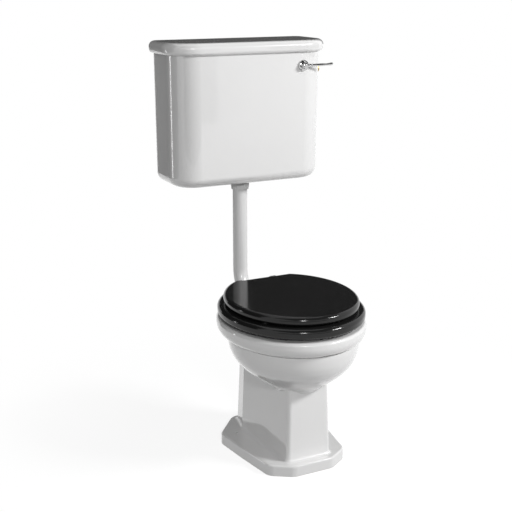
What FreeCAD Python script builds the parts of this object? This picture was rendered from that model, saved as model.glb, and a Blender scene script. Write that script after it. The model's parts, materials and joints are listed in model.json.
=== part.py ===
import FreeCAD, Part
import math
import os
import re
import Sketcher

# A traditional low-level toilet suite: a pan with a black seat stands on the floor, a wall-hung cistern
# feeds it through a bent flush pipe.  Millimetres, Z up, the user sits facing -Y, the wall is at wall_y.

doc = FreeCAD.newDocument("toilet_suite")
sheet = doc.addObject("Spreadsheet::Sheet", "Sizes")

SIZES = [
    # name, value, what it is
    ("wall_y", 350, "wall face behind the cistern, from the middle of the foot"),
    # pan
    ("rim_top", 390, "china rim above the floor"),
    ("rim_depth", 46, "height of the rim band"),
    ("rim_half", 190, "rim, half width"),
    ("rim_reach", 215, "rim, half length"),
    ("rim_y", -45, "middle of the rim and seat ovals"),
    ("rim_round", 30, "rounding under the rim band"),
    ("rim_wall", 12, "china wall round the flushing channel"),
    ("mouth_half", 124, "opening inside the rim, half width"),
    ("mouth_reach", 152, "opening inside the rim, half length"),
    ("channel_low", 350, "floor of the flushing channel"),
    ("channel_high", 377, "roof of the flushing channel"),
    ("weep_gap", 6, "slot under the rim curtain that lets the flush out"),
    ("bowl_half", 168, "bowl outside under the rim, half width"),
    ("bowl_reach", 186, "bowl outside under the rim, half length"),
    ("bowl_y", -58, "middle of the bowl under the rim"),
    ("bowl_depth", 204, "bowl outside, from the rim band down to the throat"),
    ("bowl_wall", 12, "china wall of the bowl"),
    ("throat_y", -88, "middle of the water throat"),
    ("trap_radius", 44, "trap tube, outside radius"),
    ("trap_wall", 9, "china wall of the trap"),
    ("trap_turn", 45, "bend radius of the trap"),
    ("trap_low", 120, "centre height of the lower trap bend"),
    ("trap_high", 155, "centre height of the upper trap bend"),
    ("outlet_low", 12, "end of the soil outlet above the floor"),
    ("deck_half", 93, "hinge deck behind the bowl, half width"),
    ("deck_rear", 178, "rear face of the hinge deck"),
    ("deck_thick", 24, "hinge deck thickness"),
    ("horn_z", 358, "axis of the flush inlet"),
    ("horn_radius", 31, "flush inlet, outside radius"),
    ("horn_bore", 24, "flush inlet, socket radius"),
    ("horn_seat", 132, "bottom of the flush inlet socket"),
    ("foot_height", 30, "plinth height"),
    ("foot_wall", 13, "china wall of the pedestal and plinth"),
    ("column_height", 262, "pedestal height behind the bowl"),
    ("column_draft", 2.0, "draft of the pedestal sides in degrees"),
    ("column_round", 11, "pedestal corner radius"),
    ("cove", 9, "hollow fillet between pedestal and plinth"),
    ("column_front", -155, "front face of the pedestal"),
    ("column_front_half", 65, "half width of the pedestal front"),
    ("column_waist", 85, "widest line of the pedestal, towards the wall"),
    ("column_waist_half", 81, "half width of the pedestal at its widest"),
    ("column_heel", 150, "rear face of the pedestal"),
    ("column_heel_half", 66, "half width of the pedestal rear"),
    ("plinth_front", -180, "front edge of the plinth"),
    ("plinth_front_half", 56, "half width of the plinth front"),
    ("plinth_corner", -144, "end of the slanted front corner of the plinth"),
    ("plinth_corner_half", 114, "half width there"),
    ("plinth_side", -25, "bend in the plinth side"),
    ("plinth_side_half", 133, "half width there"),
    ("plinth_rear", 84, "start of the slanted rear corner of the plinth"),
    ("plinth_rear_half", 147, "half width there"),
    ("plinth_heel", 168, "rear edge of the plinth"),
    ("plinth_heel_half", 74, "half width of the plinth rear"),
    ("plinth_round", 34, "plinth corner radius"),
    ("screw_x", 108, "floor screws, half spacing"),
    ("screw_y", 62, "floor screws, distance behind the middle of the foot"),
    ("screw_hole", 4, "floor screw hole radius"),
    ("web_thick", 12, "web across the hollow foot that carries the trap"),
    ("web_height", 60, "height of that web"),
    # seat
    ("seat_gap", 8, "rim to ring, filled by the ring buffers"),
    ("ring_thick", 26, "seat ring thickness"),
    ("ring_half", 187, "seat ring, half width"),
    ("ring_reach", 212, "seat ring, half length"),
    ("chord_y", 140, "straight rear edge of the ring"),
    ("hole_half", 114, "hole in the ring, half width"),
    ("hole_reach", 142, "hole in the ring, half length"),
    ("hole_y", -56, "middle of the hole in the ring"),
    ("ring_groove", 15, "depth of the hollow under the ring"),
    ("ring_skin", 14, "side walls beside the hollow under the ring"),
    ("lid_gap", 4, "ring to lid, filled by the lid buffers"),
    ("lid_thick", 22, "lid thickness"),
    ("lid_inset", 16, "lid edge inside the ring edge"),
    ("lid_recess", 11, "depth of the hollow under the lid"),
    ("lid_skin", 26, "solid edge round the hollow under the lid"),
    ("seat_round", 11, "rounded edge of ring and lid"),
    ("seat_corner", 13, "rear corner radius of ring and lid"),
    # hinge
    ("rod_y", 151, "hinge rod axis, towards the wall"),
    ("rod_z", 414, "hinge rod axis, above the floor"),
    ("rod_radius", 4.5, "hinge rod radius"),
    ("rod_half", 86, "hinge rod, half length"),
    ("eye_radius", 9, "outside radius of the hinge eyes"),
    ("eye_play", 0.08, "radial play of the moving eyes on the rod"),
    ("pillar_x", 77.5, "half spacing of the hinge pillars"),
    ("pillar_foot", 16, "hinge pillar foot radius"),
    ("ring_arm_x", 26, "hinge arms of the ring, half spacing"),
    ("lid_arm_x", 52, "hinge arms of the lid, half spacing"),
    ("arm_width", 18, "hinge arm width"),
    ("stud_radius", 4, "hinge stud radius"),
    ("stud_length", 66, "hinge stud length"),
    ("stud_hole", 6.5, "hinge hole radius in the deck"),
    ("nut_room", 21, "radius of the room for the wing nuts under the deck"),
    # cistern
    ("cistern_low", 700, "underside of the cistern"),
    ("cistern_top", 1048, "rim of the cistern body"),
    ("cistern_half", 222, "body half width at the rim"),
    ("cistern_depth", 184, "body depth at the rim"),
    ("cistern_taper", 2, "how much each side draws in towards the bottom"),
    ("cistern_lean", 4, "how much the front draws back towards the bottom"),
    ("cistern_corner", 70, "radius of the front corners"),
    ("cistern_back", 32, "radius of the back corners"),
    ("cistern_base", 28, "radius along the bottom edge"),
    ("cistern_wall", 11, "china wall of the cistern"),
    ("cover_over", 13, "overhang of the cover"),
    ("cover_thick", 32, "height of the cover"),
    ("cover_round", 15, "rounded edge of the cover"),
    ("cover_lip", 8, "depth of the locating lip under the cover"),
    ("cover_play", 3, "gap between lip and body"),
    ("fix_x", 130, "wall fixing holes, half spacing"),
    ("fix_drop", 58, "wall fixing holes, below the rim of the cistern"),
    ("fix_hole", 5, "wall fixing hole radius"),
    # flush pipe
    ("pipe_y", 259, "axis of the flush pipe"),
    ("pipe_radius", 20.5, "flush pipe, outside radius"),
    ("pipe_wall", 2, "flush pipe wall"),
    ("pipe_bend", 86, "bend radius of the flush pipe"),
    ("pipe_end", 138, "end of the pipe inside the pan"),
    # siphon
    ("tail_radius", 20, "siphon tail, outside radius"),
    ("tail_wall", 3, "siphon tail wall"),
    ("tail_drop", 16, "siphon tail, length below the cistern"),
    ("tail_hole", 22, "hole in the cistern bottom, radius"),
    ("bell_x", 60, "axis of the siphon chamber"),
    ("bell_radius", 42, "siphon chamber, outside radius"),
    ("bell_wall", 3, "siphon chamber wall"),
    ("bell_rise", 26, "mouth of the siphon chamber above the underside of the cistern"),
    ("bell_neck", 52, "siphon chamber shoulder to the centre of the bend"),
    ("crown_drop", 158, "centre of the siphon bend, below the rim of the cistern"),
    ("lift_radius", 3.5, "lift rod radius"),
    ("lift_play", 1.5, "gap round the lift rod where it leaves the siphon"),
    # lever
    ("lever_x", 146, "lever axis, right of the middle"),
    ("lever_drop", 35, "lever axis, below the rim of the cistern"),
    ("lever_reach", 78, "lever axis to lever tip"),
    ("crank_reach", 88, "lever axis to crank pin"),
    ("crank_drop", 15, "crank angle below level at rest, degrees"),
    ("bush_radius", 15, "chrome boss radius"),
    ("barrel_radius", 8, "threaded barrel through the cistern"),
    ("spindle_radius", 4, "lever spindle radius"),
    ("pin_radius", 3, "crank pin radius"),
    # float valve
    ("valve_y", 290, "float valve axis, towards the wall"),
    ("valve_drop", 56, "float valve axis, below the rim of the cistern"),
    ("valve_radius", 14, "float valve body radius"),
    ("piston_radius", 8, "float valve piston radius"),
    ("inlet_radius", 10.5, "threaded inlet tail, half of a half-inch pipe thread"),
    ("inlet_end", 262, "end of the inlet tail, right of the middle"),
    ("inlet_free", 31, "length of the inlet tail left outside the back nut"),
    ("inlet_free_radius", 10.3, "radius of that free end"),
    ("float_x", 168, "float arm pivot, right of the middle"),
    ("float_below", 17, "float arm pivot, below the float valve axis"),
    ("arm_radius", 3, "float arm rod radius"),
    ("arm_length", 262, "float arm pivot to float centre"),
    ("ball_radius", 44, "float radius"),
    ("float_drop", 22, "angle the float arm hangs below level while the cistern is empty, degrees"),
    ("piston_travel", 4.6, "piston travel between empty and full"),
]

for row, (alias, value, note) in enumerate(SIZES, 1):
    sheet.set("A%d" % row, note)
    sheet.set("B%d" % row, str(value))
    sheet.setAlias("B%d" % row, alias)
doc.recompute()

ALONG_X = FreeCAD.Rotation(FreeCAD.Vector(0, 1, 0), 90)
ALONG_Y = FreeCAD.Rotation(FreeCAD.Vector(1, 0, 0), -90)
UPRIGHT = FreeCAD.Rotation()
LENGTHWISE = FreeCAD.Rotation(FreeCAD.Vector(0, 0, 1), 90)


# Heights that follow from the sizes
HEIGHTS = {
    "fix_z": "cistern_top - fix_drop",
    "tail_low": "cistern_low - tail_drop",
    "bell_low": "cistern_low + bell_rise",
    "crown_z": "cistern_top - crown_drop",
    "bell_high": "crown_z - bell_neck",
    "lever_z": "cistern_top - lever_drop",
    "valve_z": "cistern_top - valve_drop",
    "float_z": "valve_z - float_below",
    "pan_joint": "column_height - foot_wall",
}


def link(text):
    """Turn a rule such as 'rim_top - deck_thick' into an expression on the sheet."""
    def cell(word):
        name = word.group(0)
        return "(%s)" % link(HEIGHTS[name]) if name in HEIGHTS else "Sizes." + name

    return re.sub(r"\b[a-z][a-z_]+\b(?!\()", cell, str(text))


def size(alias):
    """Value of one cell."""
    return float(getattr(sheet, alias))


def worth(rule):
    """Value of a rule."""
    return float(sheet.evalExpression(link(rule)))


def new(kind, name, sizes=None, at=(0, 0, 0), turn=UPRIGHT):
    """Add an object, bind its sizes and bind the place of its origin."""
    made = doc.addObject(kind, name)
    made.Placement = FreeCAD.Placement(FreeCAD.Vector(), turn)
    for prop, rule in (sizes or {}).items():
        made.setExpression(prop, link(rule))
    for axis, rule in zip("xyz", at):
        made.setExpression("Placement.Base." + axis, link(rule))
    return made


def cylinder(name, radius, length, at, turn=UPRIGHT):
    return new("Part::Cylinder", name, {"Radius": radius, "Height": length}, at, turn)


def box(name, wide, deep, high, at):
    """Box centred on x, starting at the given y and z."""
    x, y, z = at
    sizes = {"Length": wide, "Width": deep, "Height": high}
    return new("Part::Box", name, sizes, ("(%s) - (%s) / 2" % (x, wide), y, z))


def half_ring(name, turn_radius, tube_radius, at, over):
    """Half of a ring that bends in the YZ plane, over (arch) or under (sag) its centre."""
    turn = FreeCAD.Rotation(FreeCAD.Vector(1, 1, 1), 120)
    if not over:
        turn = FreeCAD.Rotation(FreeCAD.Vector(1, 0, 0), 180) * turn
    made = new("Part::Torus", name, {"Radius1": turn_radius, "Radius2": tube_radius}, at, turn)
    made.Angle3 = 180
    return made


def oval(name, half, reach, y, z, broad=None):
    """Ellipse of a half width and a half length; broad is the rule that says when the width is the longer."""
    sizes = {"MajorRadius": "max(%s; %s)" % (half, reach), "MinorRadius": "min(%s; %s)" % (half, reach)}
    made = new("Part::Ellipse", name, sizes, (0, y, z), LENGTHWISE)
    broad = broad or "(%s) > (%s)" % (half, reach)
    made.setExpression("Placement.Rotation.Angle", link("%s ? 0 * 1deg : 90 * 1deg" % broad))
    return made


def raise_face(name, base, height):
    made = doc.addObject("Part::Extrusion", name)
    made.Base = base
    made.DirMode = "Custom"
    made.Dir = FreeCAD.Vector(0, 0, 1)
    made.Solid = True
    made.setExpression("LengthFwd", link(height))
    return made


def oval_block(name, half, reach, y, z, height):
    return raise_face(name, oval(name + "_outline", half, reach, y, z), height)


def fuse(name, parts):
    made = doc.addObject("Part::MultiFuse", name)
    made.Shapes = parts
    made.Refine = True
    return made


def cut(name, base, tool):
    made = doc.addObject("Part::Cut", name)
    made.Base = base
    made.Tool = tool
    made.Refine = True
    return made


def common(name, base, tool):
    made = doc.addObject("Part::Common", name)
    made.Base = base
    made.Tool = tool
    made.Refine = True
    return made


def group(name, parts):
    """Identical loose pieces that share one node."""
    made = doc.addObject("Part::Compound", name)
    made.Links = parts
    return made


def soften(name, base, radius, wanted):
    """Round the edges of base for which wanted(edge) is true."""
    doc.recompute()
    edges = [n for n, edge in enumerate(base.Shape.Edges, 1) if wanted(edge)]
    made = doc.addObject("Part::Fillet", name)
    made.Base = base
    made.Edges = [(n, radius, radius) for n in edges]
    return made


def flat_at(z):
    """Picks edges that lie level at height z."""
    return lambda edge: abs(edge.BoundBox.ZMin - z) < 0.01 and abs(edge.BoundBox.ZMax - z) < 0.01


def standing(edge):
    """Picks straight edges that rise."""
    return edge.BoundBox.ZLength > 5 and edge.BoundBox.XLength < 12 and edge.BoundBox.YLength < 12


def polygon(name, corners, z):
    """Closed level sketch, mirrored about x = 0: corners are (half width, y) rules from front to back."""
    made = doc.addObject("Sketcher::SketchObject", name)
    made.setExpression("Placement.Base.z", link(z))
    right = [(half, y) for half, y in corners]
    ring = [(1, half, y) for half, y in right] + [(-1, half, y) for half, y in reversed(right)]
    spots = []
    for side, half, y in ring:
        spots.append(FreeCAD.Vector(side * worth(half), worth(y), 0))
    count = len(spots)
    for n in range(count):
        made.addGeometry(Part.LineSegment(spots[n], spots[(n + 1) % count]), False)
    for n in range(count):
        made.addConstraint(Sketcher.Constraint("Coincident", n, 2, (n + 1) % count, 1))
    for n, (side, half, y) in enumerate(ring):
        for kind, rule, spot in (("DistanceX", half, spots[n].x), ("DistanceY", y, spots[n].y)):
            ends = (-1, 1, n, 1) if spot > 0 else (n, 1, -1, 1)
            index = made.addConstraint(Sketcher.Constraint(kind, *ends, abs(spot)))
            made.setExpression("Constraints[%d]" % index, link("abs(%s)" % rule))
    return made


def rounded_plan(name, half, front, back, front_round, back_round, z):
    """Level rounded rectangle, symmetric about x = 0, with its own front and back corner radii."""
    made = doc.addObject("Sketcher::SketchObject", name)
    made.setExpression("Placement.Base.z", link(z))
    w, f, b, rf, rb = [worth(rule) for rule in (half, front, back, front_round, back_round)]
    up = FreeCAD.Vector(0, 0, 1)

    def line(x0, y0, x1, y1):
        made.addGeometry(Part.LineSegment(FreeCAD.Vector(x0, y0, 0), FreeCAD.Vector(x1, y1, 0)), False)

    def corner(x, y, radius, quarter):
        circle = Part.Circle(FreeCAD.Vector(x, y, 0), up, radius)
        start = quarter * math.pi / 2
        made.addGeometry(Part.ArcOfCircle(circle, start, start + math.pi / 2), False)

    line(rf - w, f, w - rf, f)
    corner(w - rf, f + rf, rf, 3)
    line(w, f + rf, w, b - rb)
    corner(w - rb, b - rb, rb, 0)
    line(w - rb, b, rb - w, b)
    corner(rb - w, b - rb, rb, 1)
    line(-w, b - rb, -w, f + rf)
    corner(rf - w, f + rf, rf, 2)
    for n in range(8):
        made.addConstraint(Sketcher.Constraint("Tangent", n, 2, (n + 1) % 8, 1))
    for n, kind in ((0, "Horizontal"), (2, "Vertical"), (4, "Horizontal"), (6, "Vertical")):
        made.addConstraint(Sketcher.Constraint(kind, n))
    driven = [
        (Sketcher.Constraint("Radius", 1, rf), front_round),
        (Sketcher.Constraint("Radius", 7, rf), front_round),
        (Sketcher.Constraint("Radius", 3, rb), back_round),
        (Sketcher.Constraint("Radius", 5, rb), back_round),
        (Sketcher.Constraint("DistanceX", -1, 1, 2, 1, w), half),
        (Sketcher.Constraint("DistanceX", 6, 1, -1, 1, w), half),
        (Sketcher.Constraint("DistanceY", -1, 1, 0, 1, f), front),
        (Sketcher.Constraint("DistanceY", -1, 1, 4, 1, b), back),
    ]
    for constraint, rule in driven:
        index = made.addConstraint(constraint)
        made.setExpression("Constraints[%d]" % index, link(rule))
    return made


def loft(name, sections, ruled=False):
    made = doc.addObject("Part::Loft", name)
    made.Sections = sections
    made.Solid = True
    made.Ruled = ruled
    return made


pieces = []


def piece(made, label):
    """Name a finished physical piece."""
    made.Label = label
    pieces.append(made)
    return made


# Pan: bowl and throat.  Each step is (share of the depth, share of the width that is left).
BOWL_STEPS = [
    (0.00, 1.000), (0.14, 0.975), (0.29, 0.870), (0.42, 0.665),
    (0.53, 0.420), (0.62, 0.200), (0.72, 0.070), (0.85, 0.010), (1.00, 0.000),
]


def bowl(name, half, reach, throat, top):
    sections = []
    for n, (sunk, left) in enumerate(BOWL_STEPS):
        wide = "%s + (%s - %s) * %s" % (throat, half, throat, left)
        deep = "%s + (%s - %s) * %s" % (throat, reach, throat, left)
        middle = "throat_y + (bowl_y - throat_y) * %s" % left
        level = "rim_top - rim_depth - bowl_depth * %s + (%s) * %s" % (sunk, top, 1 - sunk)
        sections.append(oval("%s_%d" % (name, n), wide, deep, middle, level, "(%s) > (%s)" % (half, reach)))
    return loft(name, sections)


throat_bore = "(trap_radius - trap_wall)"
bowl_out = bowl("bowl_out", "bowl_half", "bowl_reach", "(trap_radius + 2)", "2")
bowl_in = bowl("bowl_in", "(bowl_half - bowl_wall)", "(bowl_reach - bowl_wall)", throat_bore, "9")

# Pan: rim band with a flushing channel behind a hanging curtain
rim_band = oval_block("rim_band", "rim_half", "rim_reach", "rim_y", "rim_top - rim_depth", "rim_depth")
rim_low = size("rim_top") - size("rim_depth")
rim_soft = soften("rim_soft", rim_band, size("rim_round"), flat_at(rim_low))
rim = soften("rim", rim_soft, 9, flat_at(size("rim_top")))
mouth = oval_block("mouth", "mouth_half", "mouth_reach", "rim_y - 2", "rim_top - rim_depth", "rim_depth + 5")
channel_all = oval_block(
    "channel_all", "rim_half - rim_wall", "rim_reach - rim_wall", "rim_y", "channel_low",
    "channel_high - channel_low")
curtain = oval_block(
    "curtain", "mouth_half + rim_wall", "mouth_reach + rim_wall", "rim_y - 2", "channel_low + weep_gap",
    "channel_high - channel_low")
stud_walls = []
for n, side in enumerate((-1, 1)):
    spot = ("%d * pillar_x" % side, "rod_y", "rim_top - rim_depth")
    stud_walls.append(cylinder("stud_wall_%d" % n, "nut_room + 6", "rim_depth", spot))
channel = cut("channel", channel_all, fuse("channel_keep", [curtain] + stud_walls))

# Pan: hinge deck, neck and flush inlet
deck_low = "rim_top - deck_thick"
deck_block = box("deck_block", "2 * deck_half", "deck_rear - 90", "deck_thick", ("0", "90", deck_low))
deck = soften("deck", deck_block, 20, lambda e: standing(e) and e.BoundBox.YMin > size("deck_rear") - 1)
neck = box("neck", "80", "90", "rim_top - 260", ("0", "60", "240"))
horn = cylinder("horn", "horn_radius", "deck_rear - 86", ("0", "90", "horn_z"), ALONG_Y)
horn_socket = cylinder("horn_socket", "horn_bore", "80", ("0", "horn_seat", "horn_z"), ALONG_Y)
horn_way = cylinder("horn_way", "13", "40", ("0", "horn_seat - 20", "horn_z + 3"), ALONG_Y)

# Pan: pedestal on a stepped plinth, hollow from below
def plan_corners(part, places):
    """Half width and y of each named corner."""
    return [("%s_%s_half" % (part, place), "%s_%s" % (part, place)) for place in places]


COLUMN = plan_corners("column", ("front", "waist", "heel"))
PLINTH = plan_corners("plinth", ("front", "corner", "side", "rear", "heel"))


def inset(corners, wall):
    """The same corners moved in by one wall."""
    last = len(corners) - 1
    moved = []
    for n, (half, y) in enumerate(corners):
        shift = "+ " + wall if n == 0 else ("- " + wall if n == last else "")
        moved.append(("%s - %s" % (half, wall), "%s %s" % (y, shift)))
    return moved


def column(name, corners, height):
    made = raise_face(name, polygon(name + "_plan", corners, "0"), height)
    made.setExpression("TaperAngle", link("-column_draft"))
    return made


column_block = column("column_block", COLUMN, "column_height")
column_soft = soften("column_soft", column_block, size("column_round"), standing)
column_solid = soften("column_solid", column_soft, 10, flat_at(size("column_height")))
plinth_block = raise_face("plinth_block", polygon("plinth_plan", PLINTH, "0"), "foot_height")
plinth_soft = soften("plinth_soft", plinth_block, size("plinth_round"), standing)
plinth = soften("plinth", plinth_soft, 5, flat_at(size("foot_height")))
foot_sharp = fuse("foot_sharp", [column_solid, plinth])


def foot_joint(edge):
    box_of = edge.BoundBox
    level = flat_at(size("foot_height"))(edge)
    wide = max(abs(box_of.XMin), abs(box_of.XMax)) < size("column_waist_half") + 3
    return level and wide and box_of.YMin > size("column_front") - 3 and box_of.YMax < size("column_heel") + 3


foot = soften("foot", foot_sharp, size("cove"), foot_joint)
column_void = column("column_void", inset(COLUMN, "foot_wall"), "column_height - foot_wall")
plinth_void_plan = polygon("plinth_void_plan", inset(PLINTH, "(foot_wall + 3)"), "0")
plinth_void = raise_face("plinth_void", plinth_void_plan, "foot_height - foot_wall")
bosses = [
    cylinder("boss_%d" % n, "16", "foot_height", ("%d * screw_x" % side, "screw_y", "0"))
    for n, side in enumerate((-1, 1))
]
plinth_hollow = cut("plinth_hollow", plinth_void, group("boss_pair", bosses))
foot_shell = cut("foot_shell", cut("foot_column", foot, column_void), plinth_hollow)
foot_web = box("foot_web", "2 * column_front_half", "web_thick", "web_height", ("0", "-web_thick / 2", "0"))


def trap(name, radius, low, top):
    """Three legs and two bends: down from the throat, up to the weir, down to the floor outlet."""
    back = "throat_y + 2 * trap_turn"
    out = "throat_y + 4 * trap_turn"
    return [
        cylinder(name + "_leg", radius, "%s - trap_low" % top, ("0", "throat_y", "trap_low")),
        half_ring(name + "_sag", "trap_turn", radius, ("0", "throat_y + trap_turn", "trap_low"), False),
        cylinder(name + "_rise", radius, "trap_high - trap_low", ("0", back, "trap_low")),
        half_ring(name + "_weir", "trap_turn", radius, ("0", "throat_y + 3 * trap_turn", "trap_high"), True),
        cylinder(name + "_fall", radius, "trap_high - (%s)" % low, ("0", out, low)),
    ]


trap_out = trap("trap_out", "trap_radius", "outlet_low", "170")
trap_in = trap("trap_in", throat_bore, "outlet_low - 5", "170")
bolt_holes = []
for n, side in enumerate((-1, 1)):
    spot = ("%s * pillar_x" % side, "rod_y", "rim_top - 60")
    bolt_holes.append(cylinder("stud_hole_%d" % n, "stud_hole", "80", spot))
    spot = ("%s * pillar_x" % side, "rod_y", "rim_top - deck_thick - 60")
    bolt_holes.append(cylinder("nut_room_%d" % n, "nut_room", "60", spot))
    spot = ("%s * screw_x" % side, "screw_y", "-5")
    bolt_holes.append(cylinder("screw_hole_%d" % n, "screw_hole", "60", spot))
pan_solid = fuse("pan_solid", [foot_shell, foot_web, bowl_out, rim, deck, neck, horn] + trap_out)
pan_voids = fuse("pan_voids", [bowl_in, mouth, channel, horn_socket, horn_way] + trap_in + bolt_holes)
pan_china = cut("pan_china", pan_solid, pan_voids)

# The fired pan is one piece of china, kept as seven solids that meet face to face: the rim with its curtain,
# the channel with the flush inlet, the bowl, and below them the throat, the trap, and the foot before and
# behind the throat
def over(name, level):
    """Room above one level, wider than the pan."""
    return box(name, "3 * rim_half", "4 * rim_reach", "rim_top", ("0", "-2 * rim_reach", level))


rim_room = fuse("rim_room", [over("over_channel", "channel_high"), curtain])
piece(common("rim_cast", pan_china, rim_room), "pan_rim")
below_rim = cut("below_rim", pan_china, rim_room)
channel_room = over("over_bowl", "rim_top - rim_depth")
piece(common("channel_cast", below_rim, channel_room), "pan_channel")
below_channel = cut("below_channel", below_rim, channel_room)
bowl_room = over("over_foot", "pan_joint")
piece(common("bowl_cast", below_channel, bowl_room), "pan")
below_bowl = cut("below_bowl", below_channel, bowl_room)
trap_room = fuse("trap_room", [bowl_out] + trap_out)
trap_whole = common("trap_whole", below_bowl, trap_room)
foot_whole = cut("foot_whole", below_bowl, trap_room)
behind_throat = "throat_y + trap_radius + foot_wall"
heel_room = box("heel_room", "3 * rim_half", "4 * rim_reach", "rim_top", ("0", behind_throat, "-5"))
piece(cut("throat_cast", trap_whole, heel_room), "pan_throat")
piece(common("trap_cast", trap_whole, heel_room), "pan_trap")
piece(cut("foot_cast", foot_whole, heel_room), "pan_foot")
piece(common("heel_cast", foot_whole, heel_room), "pan_heel")

# Flush cone: rubber seal between the flush pipe and the pan
def on_horn(name, radius, start, length):
    """Cylinder on the axis of the flush inlet."""
    return cylinder(name, radius, length, ("0", start, "horn_z"), ALONG_Y)


cone_sleeve = on_horn("cone_sleeve", "horn_bore - 0.05", "pipe_end", "deck_rear + 4 - pipe_end")
cone_flange = on_horn("cone_flange", "horn_radius - 1", "deck_rear + 4", "5")
cone_grip = on_horn("cone_grip", "pipe_radius + 0.02", "pipe_end - 5", "60")
cone_flare = on_horn("cone_flare", "pipe_radius + 2.2", "pipe_y - pipe_bend - 1", "60")
cone_body = fuse("cone_body", [cone_sleeve, cone_flange])
piece(cut("cone_rubber", cone_body, fuse("cone_bore", [cone_grip, cone_flare])), "flush_cone")

# Seat ring: an oval with a straight rear edge, rounded over, hollow between its walls underneath
ring_low = "rim_top + seat_gap"
ring_high = ring_low + " + ring_thick"


def seat_board(name, inset_by, low, thick):
    """Solid seat outline with rounded top and bottom edges."""
    half = "ring_half - (%s)" % inset_by
    reach = "ring_reach - (%s)" % inset_by
    whole = oval_block(name + "_oval", half, reach, "rim_y", low, thick)
    off = box(name + "_off", "600", "300", "200", ("0", "chord_y - (%s)" % inset_by, "rim_top - 50"))
    board = cut(name + "_cut", whole, off)
    corners = soften(name + "_corners", board, size("seat_corner"), standing)
    bottom = worth(low)
    top = bottom + worth(thick)
    under = soften(name + "_under", corners, size("seat_round") - 3, flat_at(bottom))
    return soften(name + "_board", under, size("seat_round"), flat_at(top))


ring_board = seat_board("ring", "0", ring_low, "ring_thick")
ring_hole = oval_block("ring_hole", "hole_half", "hole_reach", "hole_y", ring_low + " - 5", "ring_thick + 10")
ring_open = cut("ring_open", ring_board, ring_hole)


def inner_top(edge):
    """Top edge of the hole in the ring."""
    high = worth(ring_high)
    return flat_at(high)(edge) and edge.BoundBox.XLength < 2 * size("hole_half") + 1


ring_round = soften("ring_round", ring_open, 9, inner_top)
groove_out = oval_block(
    "groove_out", "ring_half - ring_skin", "ring_reach - ring_skin", "rim_y",
    ring_low + " - 1", "ring_groove + 1")
groove_in = oval_block(
    "groove_in", "hole_half + ring_skin", "hole_reach + ring_skin", "hole_y",
    ring_low + " - 2", "ring_groove + 4")
groove_lands = [
    box("groove_land_front", "500", "40", "60", ("0", "-170", "rim_top")),
    box("groove_land_rear", "500", "130", "60", ("0", "60", "rim_top")),
]
groove = cut("groove", groove_out, fuse("groove_keep", [groove_in] + groove_lands))
ring_shell = cut("ring_shell", ring_round, groove)


def eye(name, x, width, radius):
    """Hinge eye round the rod."""
    return cylinder(name, radius, width, ("(%s) - (%s) / 2" % (x, width), "rod_y", "rod_z"), ALONG_X)


ring_arms = []
lid_arms = []
for n, side in enumerate(("-1", "1")):
    x = side + " * ring_arm_x"
    ring_arms.append(eye("ring_eye_%d" % n, x, "arm_width", "eye_radius"))
    ring_arms.append(box("ring_arm_%d" % n, "arm_width", "rod_y - 120", "14", (x, "120", "rod_z - 7")))
    x = side + " * lid_arm_x"
    lid_arms.append(eye("lid_eye_%d" % n, x, "arm_width", "eye_radius"))
    spot = (x, "rod_y - eye_radius", "rod_z")
    lid_arms.append(box("lid_post_%d" % n, "arm_width", "2 * eye_radius", "20", spot))
    spot = (x, "112", ring_high + " + lid_gap + 2")
    lid_arms.append(box("lid_arm_%d" % n, "arm_width", "rod_y + eye_radius - 112", "6", spot))
moving_bore = eye("moving_bore", "0", "2 * rod_half", "rod_radius + eye_play")
ring_whole = fuse("ring_whole", [ring_shell] + ring_arms)
piece(cut("ring_seat", ring_whole, moving_bore), "seat_ring")

# Seat lid: the same outline a little smaller, hollow underneath
lid_low = ring_high + " + lid_gap"
lid_board = seat_board("lid", "lid_inset", lid_low, "lid_thick")
lid_void_oval = oval_block(
    "lid_void_oval", "ring_half - lid_inset - lid_skin", "ring_reach - lid_inset - lid_skin", "rim_y",
    lid_low + " - 1", "lid_recess + 1")
lid_void_end = "chord_y - lid_inset - lid_skin - 6"
lid_void_off = box("lid_void_off", "600", "300", "200", ("0", lid_void_end, "rim_top"))
lid_shell = cut("lid_shell", lid_board, cut("lid_void", lid_void_oval, lid_void_off))
lid_whole = fuse("lid_whole", [lid_shell] + lid_arms)
lid_bore = eye("lid_bore", "0", "2 * rod_half", "rod_radius + eye_play")
piece(cut("lid_seat", lid_whole, lid_bore), "seat_lid")

# Buffers: four rubber pads under the ring and four under the lid, left and right at two places
ring_pads = []
lid_pads = []
PADS = [("-150", "119", "126"), ("80", "122", "114")]  # y, half spacing under the ring and under the lid
for side in ("-1", "1"):
    for y, ring_x, lid_x in PADS:
        n = len(ring_pads)
        spot = ("%s * %s" % (side, ring_x), y + " - 13", "rim_top")
        ring_pads.append(box("ring_pad_%d" % n, "16", "26", "seat_gap", spot))
        spot = ("%s * %s" % (side, lid_x), y, ring_high)
        lid_pads.append(cylinder("lid_pad_%d" % n, "7", "lid_gap", spot))
piece(group("ring_pads", ring_pads), "seat_buffers")
piece(group("lid_pads", lid_pads), "lid_buffers")

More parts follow.
